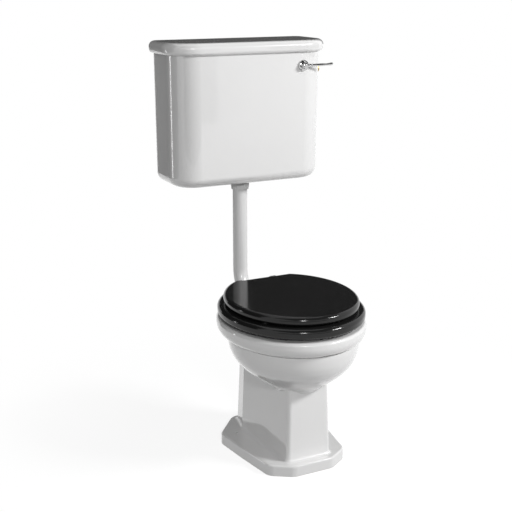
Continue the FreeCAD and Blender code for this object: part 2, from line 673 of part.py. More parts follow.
# Hinge: chrome pillars on the deck carry the rod; studs, washers and wing nuts hold them under the deck
pillars, studs, washers, nuts = [], [], [], []
for n, side in enumerate(("-1", "1")):
    x = side + " * pillar_x"
    foot_disc = cylinder("pillar_foot_%d" % n, "pillar_foot", "5", (x, "rod_y", "rim_top"))
    post = cylinder("pillar_post_%d" % n, "eye_radius - 1", "rod_z - rim_top", (x, "rod_y", "rim_top"))
    knuckle = eye("pillar_eye_%d" % n, x, "17", "eye_radius")
    body = fuse("pillar_body_%d" % n, [foot_disc, post, knuckle])
    holes = [
        eye("pillar_bore_%d" % n, x, "40", "rod_radius + 0.02"),
        cylinder("pillar_thread_%d" % n, "stud_radius + 0.02", "15", (x, "rod_y", "rim_top - 1")),
    ]
    pillars.append(cut("pillar_%d" % n, body, fuse("pillar_holes_%d" % n, holes)))
    spot = (x, "rod_y", "rim_top + 13 - stud_length")
    studs.append(cylinder("stud_%d" % n, "stud_radius", "stud_length", spot))
    ring = cylinder("washer_disc_%d" % n, "15", "4", (x, "rod_y", deck_low + " - 4"))
    hole = cylinder("washer_hole_%d" % n, "stud_radius + 0.3", "10", (x, "rod_y", deck_low + " - 8"))
    washers.append(cut("washer_%d" % n, ring, hole))
    hub = cylinder("nut_hub_%d" % n, "8", "11", (x, "rod_y", deck_low + " - 15"))
    wings = box("nut_wings_%d" % n, "38", "4", "14", (x, "rod_y - 2", deck_low + " - 22"))
    grip = cylinder("nut_bore_%d" % n, "stud_radius + 0.02", "40", (x, "rod_y", deck_low + " - 30"))
    nuts.append(cut("nut_%d" % n, fuse("nut_body_%d" % n, [hub, wings]), grip))
piece(group("pillar_pair", pillars), "hinge_pillars")
piece(group("stud_pair", studs), "hinge_studs")
piece(group("washer_pair", washers), "hinge_washers")
piece(group("nut_pair", nuts), "hinge_wing_nuts")
piece(cylinder("rod", "rod_radius", "2 * rod_half", ("-rod_half", "rod_y", "rod_z"), ALONG_X), "hinge_rod")

# Cistern: a tapered rounded box, open at the top, hung flat on the wall
front_top = "wall_y - cistern_depth"


def cistern_box(name, inset_by, low, high, base_round):
    """Tapered box with a flat back, drawn in by inset_by all round, with a rounded bottom edge."""
    back = "wall_y - (%s)" % inset_by
    front_r = "cistern_corner - (%s)" % inset_by
    back_r = "cistern_back - (%s) / 2" % inset_by
    half = "cistern_half - (%s)" % inset_by
    front = front_top + " + (%s)" % inset_by
    top = rounded_plan(name + "_top", half, front, back, front_r, back_r, high)
    bottom = rounded_plan(
        name + "_bottom", half + " - cistern_taper", front + " + cistern_lean", back, front_r, back_r, low)
    walls = loft(name + "_walls", [bottom, top], True)
    level = worth(low)
    return soften(name, walls, base_round, flat_at(level))


cistern_out = cistern_box("cistern_out", "0", "cistern_low", "cistern_top", size("cistern_base"))
cistern_in = cistern_box(
    "cistern_in", "cistern_wall", "cistern_low + cistern_wall", "cistern_top + 1",
    size("cistern_base") - size("cistern_wall"))
cistern_shell = cut("cistern_shell", cistern_out, cistern_in)
cistern_holes = [
    cylinder("hole_tail", "tail_hole", "80", ("0", "pipe_y", "cistern_low - 20")),
    cylinder("hole_lever", "barrel_radius + 0.5", "60", ("lever_x", front_top + " - 20", "lever_z"), ALONG_Y),
    cylinder("hole_inlet", "inlet_radius + 0.7", "60", ("cistern_half - 40", "valve_y", "valve_z"), ALONG_X),
]
for n, side in enumerate(("-1", "1")):
    spot = (side + " * fix_x", "wall_y - 30", "fix_z")
    cistern_holes.append(cylinder("hole_fix_%d" % n, "fix_hole", "60", spot, ALONG_Y))
piece(cut("cistern_china", cistern_shell, fuse("cistern_holes", cistern_holes)), "cistern")

# Cistern cover: bullnosed slab, hollow underneath, with a lip that drops inside the body
cover_top = size("cistern_top") + size("cover_thick")
cover_slab = raise_face(
    "cover_slab",
    rounded_plan("cover_plan", "cistern_half + cover_over", front_top + " - cover_over", "wall_y",
                 "cistern_corner + cover_over", "cistern_back", "cistern_top"),
    "cover_thick")
cover_under = soften("cover_under", cover_slab, 11, flat_at(size("cistern_top")))
cover_bull = soften("cover_bull", cover_under, size("cover_round"), flat_at(cover_top))


def cover_plug(name, inset_by, low, height):
    """Block that follows the inside of the body, drawn in by inset_by from the outside."""
    plan = rounded_plan(
        name + "_plan", "cistern_half - (%s)" % inset_by, front_top + " + (%s)" % inset_by,
        "wall_y - (%s)" % inset_by, "cistern_corner - (%s)" % inset_by, "cistern_back - 8", low)
    return raise_face(name, plan, height)


cover_lip = cover_plug("cover_lip", "cistern_wall + cover_play", "cistern_top - cover_lip", "cover_lip + 2")
cover_void = cover_plug(
    "cover_void", "cistern_wall + cover_play + 9",
    "cistern_top - cover_lip - 1", "cover_lip + cover_thick - 10")
piece(cut("cover_china", fuse("cover_whole", [cover_bull, cover_lip]), cover_void), "cistern_lid")

# Flush pipe: straight fall, quarter bend, short run into the pan
pipe_path = doc.addObject("Sketcher::SketchObject", "pipe_path")
pipe_path.Placement = FreeCAD.Placement(FreeCAD.Vector(), FreeCAD.Rotation(FreeCAD.Vector(1, 1, 1), 120))
fall_y, run_z, bend = size("pipe_y"), size("horn_z"), size("pipe_bend")
pipe_top = worth("tail_low - 2")
bend_circle = Part.Circle(FreeCAD.Vector(fall_y - bend, run_z + bend, 0), FreeCAD.Vector(0, 0, 1), bend)
run_ends = [FreeCAD.Vector(y, run_z, 0) for y in (size("pipe_end"), fall_y - bend)]
fall_ends = [FreeCAD.Vector(fall_y, z, 0) for z in (run_z + bend, pipe_top)]
pipe_path.addGeometry(Part.LineSegment(*run_ends), False)
pipe_path.addGeometry(Part.ArcOfCircle(bend_circle, -math.pi / 2, 0), False)
pipe_path.addGeometry(Part.LineSegment(*fall_ends), False)
for constraint, rule in (
    (Sketcher.Constraint("Tangent", 0, 2, 1, 1), None),
    (Sketcher.Constraint("Tangent", 1, 2, 2, 1), None),
    (Sketcher.Constraint("Horizontal", 0), None),
    (Sketcher.Constraint("Vertical", 2), None),
    (Sketcher.Constraint("Radius", 1, bend), "pipe_bend"),
    (Sketcher.Constraint("DistanceX", -1, 1, 0, 1, size("pipe_end")), "pipe_end"),
    (Sketcher.Constraint("DistanceY", -1, 1, 0, 1, run_z), "horn_z"),
    (Sketcher.Constraint("DistanceX", -1, 1, 2, 2, fall_y), "pipe_y"),
    (Sketcher.Constraint("DistanceY", -1, 1, 2, 2, pipe_top), "tail_low - 2"),
):
    index = pipe_path.addConstraint(constraint)
    if rule:
        pipe_path.setExpression("Constraints[%d]" % index, link(rule))


def pipe_sweep(name, radius):
    profile = new("Part::Circle", name + "_profile", {"Radius": radius}, ("0", "pipe_end", "horn_z"), ALONG_Y)
    made = doc.addObject("Part::Sweep", name)
    made.Sections = [profile]
    made.Spine = (pipe_path, ["Edge1", "Edge2", "Edge3"])
    made.Solid = True
    made.Frenet = False
    return made


pipe_bore = "pipe_radius - pipe_wall"
pipe_hollow = cut("pipe_hollow", pipe_sweep("pipe_out", "pipe_radius"), pipe_sweep("pipe_in", pipe_bore))


def ring_washer(name, outer, inner, height, at, turn=UPRIGHT):
    """Flat ring that starts at the given place."""
    disc = cylinder(name + "_disc", outer, height, at, turn)
    hole = cylinder(name + "_hole", inner, height, at, turn)
    return cut(name, disc, hole)


pipe_collar = ring_washer("pipe_collar", "pipe_radius + 1.3", pipe_bore, "4", ("0", "pipe_y", "tail_low - 6"))
piece(fuse("pipe_whole", [pipe_hollow, pipe_collar]), "flush_pipe")


def hex_nut(name, across, bore, height, at, turn=UPRIGHT):
    """Hexagon nut; across is the distance between flats."""
    sizes = {"Circumradius": "(%s) / sqrt(3)" % across, "Height": height}
    prism = new("Part::Prism", name + "_hex", sizes, at, turn)
    prism.Polygon = 6
    hole = cylinder(name + "_hole", bore, height, at, turn)
    return cut(name, prism, hole)


# Union nut that clamps the pipe collar and a rubber washer to the siphon tail
union_out = cylinder("union_out", "pipe_radius + 4", "18", ("0", "pipe_y", "tail_low - 12"))
union_flats = new("Part::Prism", "union_flats", {"Circumradius": "pipe_radius + 6.5", "Height": "11"},
                  ("0", "pipe_y", "tail_low - 5"))
union_flats.Polygon = 8
union_bores = [
    cylinder("union_lip", "pipe_radius + 0.1", "30", ("0", "pipe_y", "tail_low - 13")),
    cylinder("union_pocket", "pipe_radius + 1.5", "6", ("0", "pipe_y", "tail_low - 6")),
]
union_nut = cut("union_nut", fuse("union_body", [union_out, union_flats]), fuse("union_bore", union_bores))
tail_bore = "(tail_radius - tail_wall)"
union_thread = ring_washer(
    "union_thread", "pipe_radius + 2", "tail_radius + 0.02", "5.5", ("0", "pipe_y", "tail_low + 0.5"))
piece(fuse("union_whole", [union_nut, union_thread]), "flush_pipe_nut")
pipe_washer = ring_washer("pipe_washer", "tail_radius", tail_bore, "2", ("0", "pipe_y", "tail_low - 2"))
piece(pipe_washer, "flush_pipe_washer")

# Siphon: tail through the cistern bottom, bend over the top, wide chamber with a lift plate
bottom_in = "cistern_low + cistern_wall"
BEND_XZ = FreeCAD.Rotation(FreeCAD.Vector(1, 0, 0), 90)


def siphon(name, tail, chamber, low, mouth):
    """Tail, bend, neck, shoulder and chamber as one solid tube."""
    shoulder = new("Part::Cone", name + "_shoulder", {"Radius1": chamber, "Radius2": tail, "Height": "30"},
                   ("bell_x", "pipe_y", "bell_high"))
    bend_over = new("Part::Torus", name + "_bend", {"Radius1": "bell_x / 2", "Radius2": tail},
                    ("bell_x / 2", "pipe_y", "crown_z"), BEND_XZ)
    bend_over.Angle3 = 180
    return fuse(name, [
        cylinder(name + "_tail", tail, "crown_z - (%s)" % low, ("0", "pipe_y", low)),
        cylinder(name + "_neck", tail, "crown_z - bell_high", ("bell_x", "pipe_y", "bell_high")),
        cylinder(name + "_chamber", chamber, "bell_high - (%s)" % mouth, ("bell_x", "pipe_y", mouth)),
        bend_over,
        shoulder,
    ])


siphon_out = siphon("siphon_out", "tail_radius", "bell_radius", "tail_low", "bell_low")
siphon_in = siphon("siphon_in", tail_bore, "(bell_radius - bell_wall)", "tail_low - 5", "bell_low - 5")
siphon_flange = cylinder("siphon_flange", "34", "6", ("0", "pipe_y", bottom_in + " + 4"))
siphon_exit = cylinder("siphon_exit", "lift_radius + lift_play", "60", ("bell_x", "pipe_y", "crown_z"))
siphon_void = fuse("siphon_void", [siphon_in, siphon_exit])
piece(cut("siphon_body", fuse("siphon_walls", [siphon_out, siphon_flange]), siphon_void), "siphon")
siphon_ring = ring_washer("siphon_ring", "33", "tail_radius + 0.1", "4", ("0", "pipe_y", bottom_in))
siphon_nut = hex_nut("siphon_nut", "54", "tail_radius + 0.02", "9", ("0", "pipe_y", "cistern_low - 9"))
piece(siphon_ring, "siphon_washer")
piece(siphon_nut, "siphon_back_nut")

# Lift rod with its plate and slotted yoke
pin_x = "lever_x - crank_reach * cos(crank_drop * 1deg)"
pin_z = "lever_z - crank_reach * sin(crank_drop * 1deg)"
plate_low = "bell_low + 6"
plate = cylinder("plate", "bell_radius - bell_wall - 2", "4", ("bell_x", "pipe_y", plate_low))
plate_holes = [cylinder("plate_bore", "lift_radius + 0.02", "20", ("bell_x", "pipe_y", plate_low + " - 8"))]
for turn in range(0, 360, 60):
    x = "bell_x + 22 * cos(%d * 1deg)" % turn
    y = "pipe_y + 22 * sin(%d * 1deg)" % turn
    plate_holes.append(cylinder("plate_port_%d" % turn, "7", "20", (x, y, plate_low + " - 8")))
piece(cut("plate_body", plate, fuse("plate_holes", plate_holes)), "siphon_plate")
flap_at = ("bell_x", "pipe_y", plate_low + " + 4")
flap = ring_washer("flap", "bell_radius - bell_wall - 3", "lift_radius + 0.02", "1", flap_at)
piece(flap, "siphon_diaphragm")
lift_stem = cylinder("lift_stem", "lift_radius", pin_z + " - 8 - (%s) + 4" % plate_low,
                     ("bell_x", "pipe_y", plate_low + " - 4"))
lift_stop = cylinder("lift_stop", "lift_radius + 3", "4", ("bell_x", "pipe_y", plate_low + " - 4"))
yoke_plate = box("yoke_plate", "34", "6", "22", ("bell_x", "pipe_y - 3", pin_z + " - 11"))
slot_at = ("bell_x", "pipe_y - 6", pin_z + " - pin_radius - 0.5")
yoke_slot = box("yoke_slot", "22", "12", "2 * pin_radius + 1", slot_at)
lift_solid = fuse("lift_solid", [lift_stem, lift_stop, yoke_plate])
piece(cut("lift_rod_body", lift_solid, yoke_slot), "siphon_lift_rod")

# Lever: chrome boss in the cistern front, spindle through it, handle outside and crank inside
face = front_top


def on_lever(name, radius, start, length):
    """Cylinder on the lever axis."""
    return cylinder(name, radius, length, ("lever_x", start, "lever_z"), ALONG_Y)


def before(y):
    """Picks edges that lie in front of y."""
    return lambda edge: edge.BoundBox.YMax < y


boss_cap = on_lever("boss_cap", "bush_radius", face + " - 7", "7")
boss_soft = soften("boss_soft", boss_cap, 4.5, before(worth(face) - 6))
barrel = on_lever("barrel", "barrel_radius", face + " - 2", "cistern_wall + 24")
boss_bore = on_lever("boss_bore", "spindle_radius + 0.05", face + " - 20", "80")
piece(cut("boss_body", fuse("boss_whole", [boss_soft, barrel]), boss_bore), "lever_boss")
nut_at = ("lever_x", face + " + cistern_wall + 2.2", "lever_z")
piece(hex_nut("boss_nut", "26", "barrel_radius + 0.02", "7", nut_at, ALONG_Y), "lever_back_nut")
piece(on_lever("spindle", "spindle_radius", face + " - 16", "pipe_y + 10 - (%s)" % face), "lever_spindle")

# Handle: each step is (share of the reach, forward, lift, half height, half depth)
HANDLE_STEPS = [
    (-0.05, 0.0, -0.2, 4.4, 3.2), (0.20, 1.0, 0.9, 3.9, 2.9), (0.45, 2.2, 1.3, 3.5, 2.6),
    (0.70, 4.0, 1.4, 3.4, 2.5), (0.92, 6.0, 2.3, 3.8, 2.6), (1.00, 6.8, 2.9, 3.5, 2.3),
    (1.03, 7.1, 3.1, 2.2, 1.4),
]
ACROSS = FreeCAD.Rotation(FreeCAD.Vector(0, 1, 0), -90)
handle_y = face + " - 13"
handle_sections = []
for n, (share, forward, lift, high, deep) in enumerate(HANDLE_STEPS):
    spot = ("lever_x + lever_reach * %s" % share, "%s - %s" % (handle_y, forward), "lever_z + %s" % lift)
    radii = {"MajorRadius": high, "MinorRadius": deep}
    handle_sections.append(new("Part::Ellipse", "handle_%d" % n, radii, spot, ACROSS))
handle_bar = loft("handle_bar", handle_sections)
handle_hub = on_lever("handle_hub", "9", face + " - 18", "10")
handle_dome = soften("handle_dome", handle_hub, 4, before(worth(face) - 17))
handle_bore = on_lever("handle_bore", "spindle_radius + 0.02", face + " - 16", "30")
piece(cut("handle_body", fuse("handle_whole", [handle_bar, handle_dome]), handle_bore), "lever_handle")

# Crank on the inner end of the spindle; its pin runs in the yoke slot
crank_y = "pipe_y - 13"
crank_turn = FreeCAD.Rotation(FreeCAD.Vector(0, 1, 0), -size("crank_drop"))
crank_at = (pin_x + " + 5 * sin(crank_drop * 1deg)", crank_y, pin_z + " - 5 * cos(crank_drop * 1deg)")
crank_sizes = {"Length": "crank_reach", "Width": "5", "Height": "10"}
crank_bar = new("Part::Box", "crank_bar", crank_sizes, crank_at, crank_turn)
crank_hub = on_lever("crank_hub", "9", crank_y, "5")
crank_end = cylinder("crank_end", "5", "5", (pin_x, crank_y, pin_z), ALONG_Y)
crank_pin = cylinder("crank_pin", "pin_radius", "20", (pin_x, crank_y, pin_z), ALONG_Y)
crank_whole = fuse("crank_whole", [crank_bar, crank_hub, crank_end, crank_pin])
crank_bore = on_lever("crank_bore", "spindle_radius + 0.02", crank_y + " - 10", "30")
piece(cut("crank_body", crank_whole, crank_bore), "lever_crank")

# Float valve: side inlet through the right wall, piston in the body, arm and ball behind the siphon
inner_wall = "cistern_half - cistern_wall - 0.5"
valve_left = "float_x - 20"


def on_valve(name, radius, start, length):
    """Cylinder on the axis of the float valve."""
    return cylinder(name, radius, length, (start, "valve_y", "valve_z"), ALONG_X)


valve_tube = on_valve("valve_tube", "valve_radius", valve_left, "%s - 10 - (%s)" % (inner_wall, valve_left))
valve_shoulder = on_valve("valve_shoulder", "18", inner_wall + " - 10.2", "8.2")
tail_length = "inlet_end - inlet_free - (%s) + 6" % inner_wall
valve_tail = on_valve("valve_tail", "inlet_radius", inner_wall + " - 6", tail_length)
valve_end = on_valve("valve_end", "inlet_free_radius", "inlet_end - inlet_free - 1", "inlet_free + 1")
lugs = [
    box("valve_lug_%d" % n, "16", "5", "valve_z - float_z + 8", ("float_x", y, "float_z - 8"))
    for n, y in enumerate(("valve_y - 11", "valve_y + 6"))
]
valve_voids = [
    on_valve("valve_bore", "piston_radius", valve_left + " - 1", "44"),
    on_valve("valve_way", "3", "float_x + 20", "30"),
    on_valve("valve_inlet", "inlet_radius - 3", "float_x + 34", "100"),
    box("valve_slot", "20", "10", "valve_z - float_z + 4", ("float_x", "valve_y - 5", "float_z - 6")),
    cylinder("valve_pin_hole", "2.52", "60", ("float_x", "valve_y - 30", "float_z"), ALONG_Y),
]
valve_solid = fuse("valve_solid", [valve_tube, valve_shoulder, valve_tail, valve_end] + lugs)
piece(cut("valve_body", valve_solid, fuse("valve_voids", valve_voids)), "float_valve_body")
ring_at = (inner_wall + " - 2", "valve_y", "valve_z")
nut_at = ("cistern_half", "valve_y", "valve_z")
pin_at = ("float_x", "valve_y - 13", "float_z")
piece(ring_washer("inlet_ring", "17", "inlet_radius + 0.1", "2", ring_at, ALONG_X), "float_valve_washer")
piece(hex_nut("inlet_nut", "32", "inlet_radius + 0.02", "8", nut_at, ALONG_X), "float_valve_back_nut")
piece(cylinder("float_pin_body", "2.5", "26", pin_at, ALONG_Y), "float_pivot_pin")

piston_rod = on_valve("piston_rod", "piston_radius - 0.06", valve_left + " - 2 - piston_travel", "39")
slot_at = ("float_x - piston_travel", "valve_y - 4.5", "valve_z - piston_radius - 1")
piston_slot = box("piston_slot", "9", "9", "8", slot_at)
piece(cut("piston_body", piston_rod, piston_slot), "float_valve_piston")


def hang(made):
    """Move a piece that is drawn level about its pivot to the pivot, turned down by float_drop."""
    turn = FreeCAD.Rotation(FreeCAD.Vector(0, 1, 0), -size("float_drop"))
    made.Placement = FreeCAD.Placement(FreeCAD.Vector(), turn)
    for axis, rule in zip("xyz", ("float_x", "valve_y", "float_z")):
        made.setExpression("Placement.Base." + axis, link(rule))
    return made


# Float arm and ball, drawn with the pivot at the origin and the ball towards -X
arm_hub = cylinder("arm_hub", "7.5", "8", ("0", "-4", "0"), ALONG_Y)
arm_nub = box("arm_nub", "4", "8", "valve_z - float_z - 3", ("0", "-4", "0"))
arm_end = ("ball_radius - arm_length", "0", "0")
arm_rod = cylinder("arm_rod", "arm_radius", "arm_length - ball_radius - 4", arm_end, ALONG_X)
arm_bore = cylinder("arm_bore", "2.58", "30", ("0", "-15", "0"), ALONG_Y)
piece(hang(cut("arm_body", fuse("arm_whole", [arm_hub, arm_nub, arm_rod]), arm_bore)), "float_arm")

ball_at = ("-arm_length", "0", "0")
ball_skin = new("Part::Sphere", "ball_skin", {"Radius": "ball_radius"}, ball_at, LENGTHWISE)
ball_air = new("Part::Sphere", "ball_air", {"Radius": "ball_radius - 1.5"}, ball_at, LENGTHWISE)
ball_neck = cylinder("ball_neck", "8", "14", ("ball_radius - arm_length - 7", "0", "0"), ALONG_X)
ball_socket = cylinder("ball_socket", "arm_radius + 0.02", "20", arm_end, ALONG_X)
ball_shell = cut("ball_shell", ball_skin, ball_air)
piece(hang(cut("ball_body", fuse("ball_whole", [ball_shell, ball_neck]), ball_socket)), "float_ball")

doc.recompute()
faults = [made.Name for made in doc.Objects if "Invalid" in made.State or "Error" in made.State]
faults += [made.Label for made in pieces if made.Shape.isNull() or not made.Shape.isValid()]
if faults:
    raise RuntimeError("faulty objects: " + ", ".join(faults))
os.makedirs("parts", exist_ok=True)
for made in pieces:
    made.Shape.exportStep("parts/%s.step" % made.Label)
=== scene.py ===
import json
import math

import bpy
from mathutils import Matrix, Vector


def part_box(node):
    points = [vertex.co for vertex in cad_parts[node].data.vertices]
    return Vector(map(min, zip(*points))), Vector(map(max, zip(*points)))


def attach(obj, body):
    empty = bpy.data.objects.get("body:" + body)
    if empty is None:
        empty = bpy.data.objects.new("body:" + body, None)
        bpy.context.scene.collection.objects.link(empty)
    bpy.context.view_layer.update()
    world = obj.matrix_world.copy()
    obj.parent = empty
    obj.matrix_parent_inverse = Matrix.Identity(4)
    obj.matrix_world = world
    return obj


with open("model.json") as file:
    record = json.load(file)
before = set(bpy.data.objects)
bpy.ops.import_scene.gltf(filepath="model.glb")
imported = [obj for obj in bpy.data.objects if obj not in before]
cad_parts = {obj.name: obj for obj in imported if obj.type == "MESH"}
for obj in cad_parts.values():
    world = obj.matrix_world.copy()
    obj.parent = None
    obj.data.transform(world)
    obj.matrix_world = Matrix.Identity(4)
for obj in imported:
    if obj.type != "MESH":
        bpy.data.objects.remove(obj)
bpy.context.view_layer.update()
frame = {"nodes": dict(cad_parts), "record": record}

# A low-level toilet suite: white china pan and cistern, black seat and lid, chrome lever, white flush pipe.
# Metres; the user sits facing -Y and the wall is on the +Y side.

NODES = frame["nodes"]

# Camera, from the photograph's outlines in a frame of 512 by 512 pixels
FRAME_PIXELS = 512
FOCAL_PIXELS = 985
CAMERA_AZIMUTH = math.radians(-26.5)
CAMERA_HEIGHT_ANGLE = math.radians(15.9)
CAMERA_AIM = Vector((-0.0518, 0.054, 0.5335))
CAMERA_DISTANCE = 2.6
CAMERA_SENSOR = 36.0
CAMERA_REACH = 60

# Solids: points closer than this are welded, and edges flatter than this are shaded smooth
WELD_DISTANCE = 0.00002
SMOOTH_BELOW = math.radians(32)

# Screw threads: radius and pitch of the winding, radius of its ridge, and the plain end left on both sides
INLET_THREAD = {"Radius": 0.01025, "Pitch": 0.0018, "Ridge": 0.0005}
INLET_END = 0.0015
STUD_THREAD = {"Radius": 0.00395, "Pitch": 0.00125, "Ridge": 0.0003}
STUD_END = 0.0008
STUD_RADIUS = 0.004
BARREL_THREAD = {"Radius": 0.00795, "Pitch": 0.0015, "Ridge": 0.0004}
BARREL_END = 0.001
TURN_STEPS = 40
RIDGE_SIDES = 6
ALONG_X = (0, math.pi / 2, 0)
ALONG_Y = (-math.pi / 2, 0, 0)
ALONG_Z = (0, 0, 0)

# Floor: its size, its grey under the lamps, its glow in the picture, and the fade to white round the object
FLOOR_HALF = 9.0
FLOOR_DROP = 0.0004
FLOOR_GREY = 0.28
FLOOR_GLOW = 0.83
FADE_START = 0.35
FADE_LENGTH = 0.75

# Grey fill that the world gives from all round
WORLD_FILL = 0.26

# Dark upright cards that only reflections see: floor line from and to, lower edge, upper edge
CARDS = {
    "card_behind": ((-1.1, 2.9), (3.4, 2.3), 0.9, 5.0),
    "card_left": ((-3.7, -0.1), (-1.1, 2.9), 0.0, 5.0),
    "card_band": ((2.05, -4.6), (1.55, -4.85), 0.0, 1.6),
    "card_before": ((-3.6, -2.3), (1.3, -4.2), 0.0, 0.9),
    "card_lever": ((0.30, -0.35), (0.55, 0.15), 1.0, 1.5),
}
CARD_ABOVE = [(-3.0, -4.6, 2.7), (3.0, -4.6, 2.7), (3.0, -0.5, 3.6), (-3.0, -0.5, 3.6)]

# Lamps: place, aim, width, height, watts
LAMPS = {
    "key_softbox": ((1.75, -1.75, 2.05), (0.0, 0.1, 0.45), 0.75, 0.30, 58),
    "front_softbox": ((-0.95, -2.75, 1.75), (0.0, 0.0, 0.45), 0.50, 0.20, 25),
    "side_strip": ((-2.0, 1.35, 0.52), (0.0, 0.1, 0.60), 0.14, 0.8, 2.4),
}

# Sockets of a colour Mix node, whose names are shared by its other data types
MIX_SHARE = 0
MIX_LOW = 6
MIX_HIGH = 7
MIX_COLOUR = 2


class Wire:
    """A shader socket that takes part in Python arithmetic; each operation adds a Math node."""

    def __init__(self, finish, socket):
        self.finish = finish
        self.socket = socket

    def maths(self, operation, *values):
        return self.finish.node("ShaderNodeMath", {"operation": operation}, dict(enumerate(values)))

    def __add__(self, other):
        return self.maths("ADD", self, other)

    def __rsub__(self, other):
        return self.maths("SUBTRACT", other, self)

    def __mul__(self, other):
        return self.maths("MULTIPLY", self, other)

    def __pow__(self, other):
        return self.maths("POWER", self, other)

    def above(self, edge, soft):
        """0 below edge, 1 above edge + soft, smooth between."""
        settings = {"interpolation_type": "SMOOTHSTEP"}
        values = {"Value": self, "From Min": edge, "From Max": edge + soft}
        return self.finish.node("ShaderNodeMapRange", settings, values)

    __radd__ = __add__
    __rmul__ = __mul__


class Finish:
    """A node tree under construction, for a material or the world."""

    def __init__(self, tree):
        self.tree = tree
        tree.nodes.clear()

    def node(self, kind, settings=None, values=None, output=0):
        """Add a node, set its settings, then fill its sockets with values or wires."""
        made = self.tree.nodes.new(kind)
        for name, value in (settings or {}).items():
            setattr(made, name, value)
        for name, value in (values or {}).items():
            if isinstance(value, Wire):
                self.tree.links.new(value.socket, made.inputs[name])
            else:
                made.inputs[name].default_value = value
        return Wire(self, made.outputs[output]) if made.outputs else None

    def place(self, stretch=(1, 1, 1)):
        """Object coordinates, stretched."""
        where = self.node("ShaderNodeTexCoord", output="Object")
        return self.node("ShaderNodeMapping", None, {"Vector": where, "Scale": stretch})

    def axis(self, letter):
        """One object coordinate."""
        where = self.node("ShaderNodeTexCoord", output="Object")
        return self.node("ShaderNodeSeparateXYZ", None, {"Vector": where}, letter.upper())

    def noise(self, scale, detail=2.0, rough=0.5, stretch=(1, 1, 1)):
        """Soft random pattern, from 0 to 1."""
        values = {"Vector": self.place(stretch), "Scale": scale, "Detail": detail, "Roughness": rough}
        return self.node("ShaderNodeTexNoise", None, values)

    def cells(self, scale):
        """Distance to the nearest of many scattered points."""
        values = {"Vector": self.place(), "Scale": scale}
        return self.node("ShaderNodeTexVoronoi", None, values, "Distance")

    def in_picture(self):
        """1 on rays from the camera, off gloss and through glass, 0 on the light that falls on things."""
        rays = self.node("ShaderNodeLightPath", output="Is Camera Ray")
        rays = rays + self.node("ShaderNodeLightPath", output="Is Glossy Ray")
        rays = rays + self.node("ShaderNodeLightPath", output="Is Transmission Ray")
        return rays.maths("MINIMUM", rays, 1.0)

    def mix(self, share, low, high):
        """Colour between low and high."""
        values = {MIX_SHARE: share, MIX_LOW: low, MIX_HIGH: high}
        return self.node("ShaderNodeMix", {"data_type": "RGBA"}, values, MIX_COLOUR)

    def bump(self, height, depth, under=None):
        """Normal of a relief of this depth, over the relief under it."""
        values = {"Height": height, "Distance": depth, "Strength": 1.0}
        if under:
            values["Normal"] = under
        return self.node("ShaderNodeBump", None, values)

    def surface(self, values):
        """Principled shader straight to the output."""
        shader = self.node("ShaderNodeBsdfPrincipled", None, values)
        self.node("ShaderNodeOutputMaterial", None, {"Surface": shader})


def material(name):
    """New material, and its tree to be filled."""
    made = bpy.data.materials.new(name)
    made.use_nodes = True
    return made, Finish(made.node_tree)


def grey(level, warm=0.0):
    """Grey of one level, a share warmer in red and cooler in blue."""
    return (level * (1 + warm), level, level * (1 - warm), 1.0)


def china_glaze():
    """White vitreous china: clear glaze with faint waves and a few pinholes, bare under the foot."""
    made, f = material("china_glaze")
    clouds = f.noise(4.0, detail=3.0)
    waves = f.noise(26.0, detail=1.5)
    peel = f.noise(240.0)
    speck = (f.cells(95.0) * -1.0).above(-0.055, 0.03) * f.noise(31.0).above(0.56, 0.08)
    bare = (f.axis("z") * -1.0).above(-0.0012, 0.0006)
    body = f.mix(clouds, grey(0.80, 0.004), grey(0.86, 0.002))
    spotted = f.mix(speck * 0.35, body, grey(0.45, 0.03))
    colour = f.mix(bare, spotted, grey(0.66, 0.05))
    rough = 0.16 + 0.10 * clouds + 0.5 * bare + 0.2 * speck
    normal = f.bump(peel, 0.00003, f.bump(waves, 0.0003))
    f.surface({
        "Base Color": colour, "Roughness": rough, "Normal": normal,
        "Coat Weight": 1.0 - bare, "Coat Roughness": 0.03, "Coat IOR": 1.5,
    })
    return made


def seat_gloss():
    """Black moulded seat: deep gloss with a faint moulding wave, wiping marks and dust."""
    made, f = material("seat_gloss")
    wave = f.noise(14.0, detail=1.0)
    wipe = f.noise(60.0, detail=4.0, rough=0.6, stretch=(1.0, 7.0, 1.0))
    dust = f.noise(900.0, detail=1.0).above(0.70, 0.06)
    colour = f.mix(dust * 0.5 + wipe * 0.25, grey(0.011), grey(0.027))
    rough = 0.10 + 0.06 * wipe + 0.20 * dust
    f.surface({
        "Base Color": colour, "Roughness": rough, "Normal": f.bump(wave, 0.0002),
        "IOR": 1.36, "Coat Weight": 0.12, "Coat Roughness": 0.05,
    })
    return made


def chrome_plate():
    """Polished plate with light handling marks."""
    made, f = material("chrome_plate")
    smear = f.noise(70.0, detail=4.0)
    fine = f.noise(700.0)
    colour = f.mix(smear, grey(0.50), grey(0.66))
    f.surface({
        "Base Color": colour, "Metallic": 1.0, "Roughness": 0.05 + 0.10 * smear,
        "Normal": f.bump(fine, 0.00001),
    })
    return made


def pipe_enamel():
    """White finish of the flush pipe and its nut, with faint draw marks along the fall."""
    made, f = material("pipe_enamel")
    drawn = f.noise(160.0, detail=3.0, rough=0.55, stretch=(1.0, 1.0, 0.04))
    clouds = f.noise(7.0)
    colour = f.mix(clouds * 0.6 + drawn * 0.4, grey(0.74, 0.004), grey(0.82))
    f.surface({
        "Base Color": colour, "Roughness": 0.20 + 0.14 * drawn, "Normal": f.bump(drawn, 0.00004),
        "Coat Weight": 0.4, "Coat Roughness": 0.1,
    })
    return made


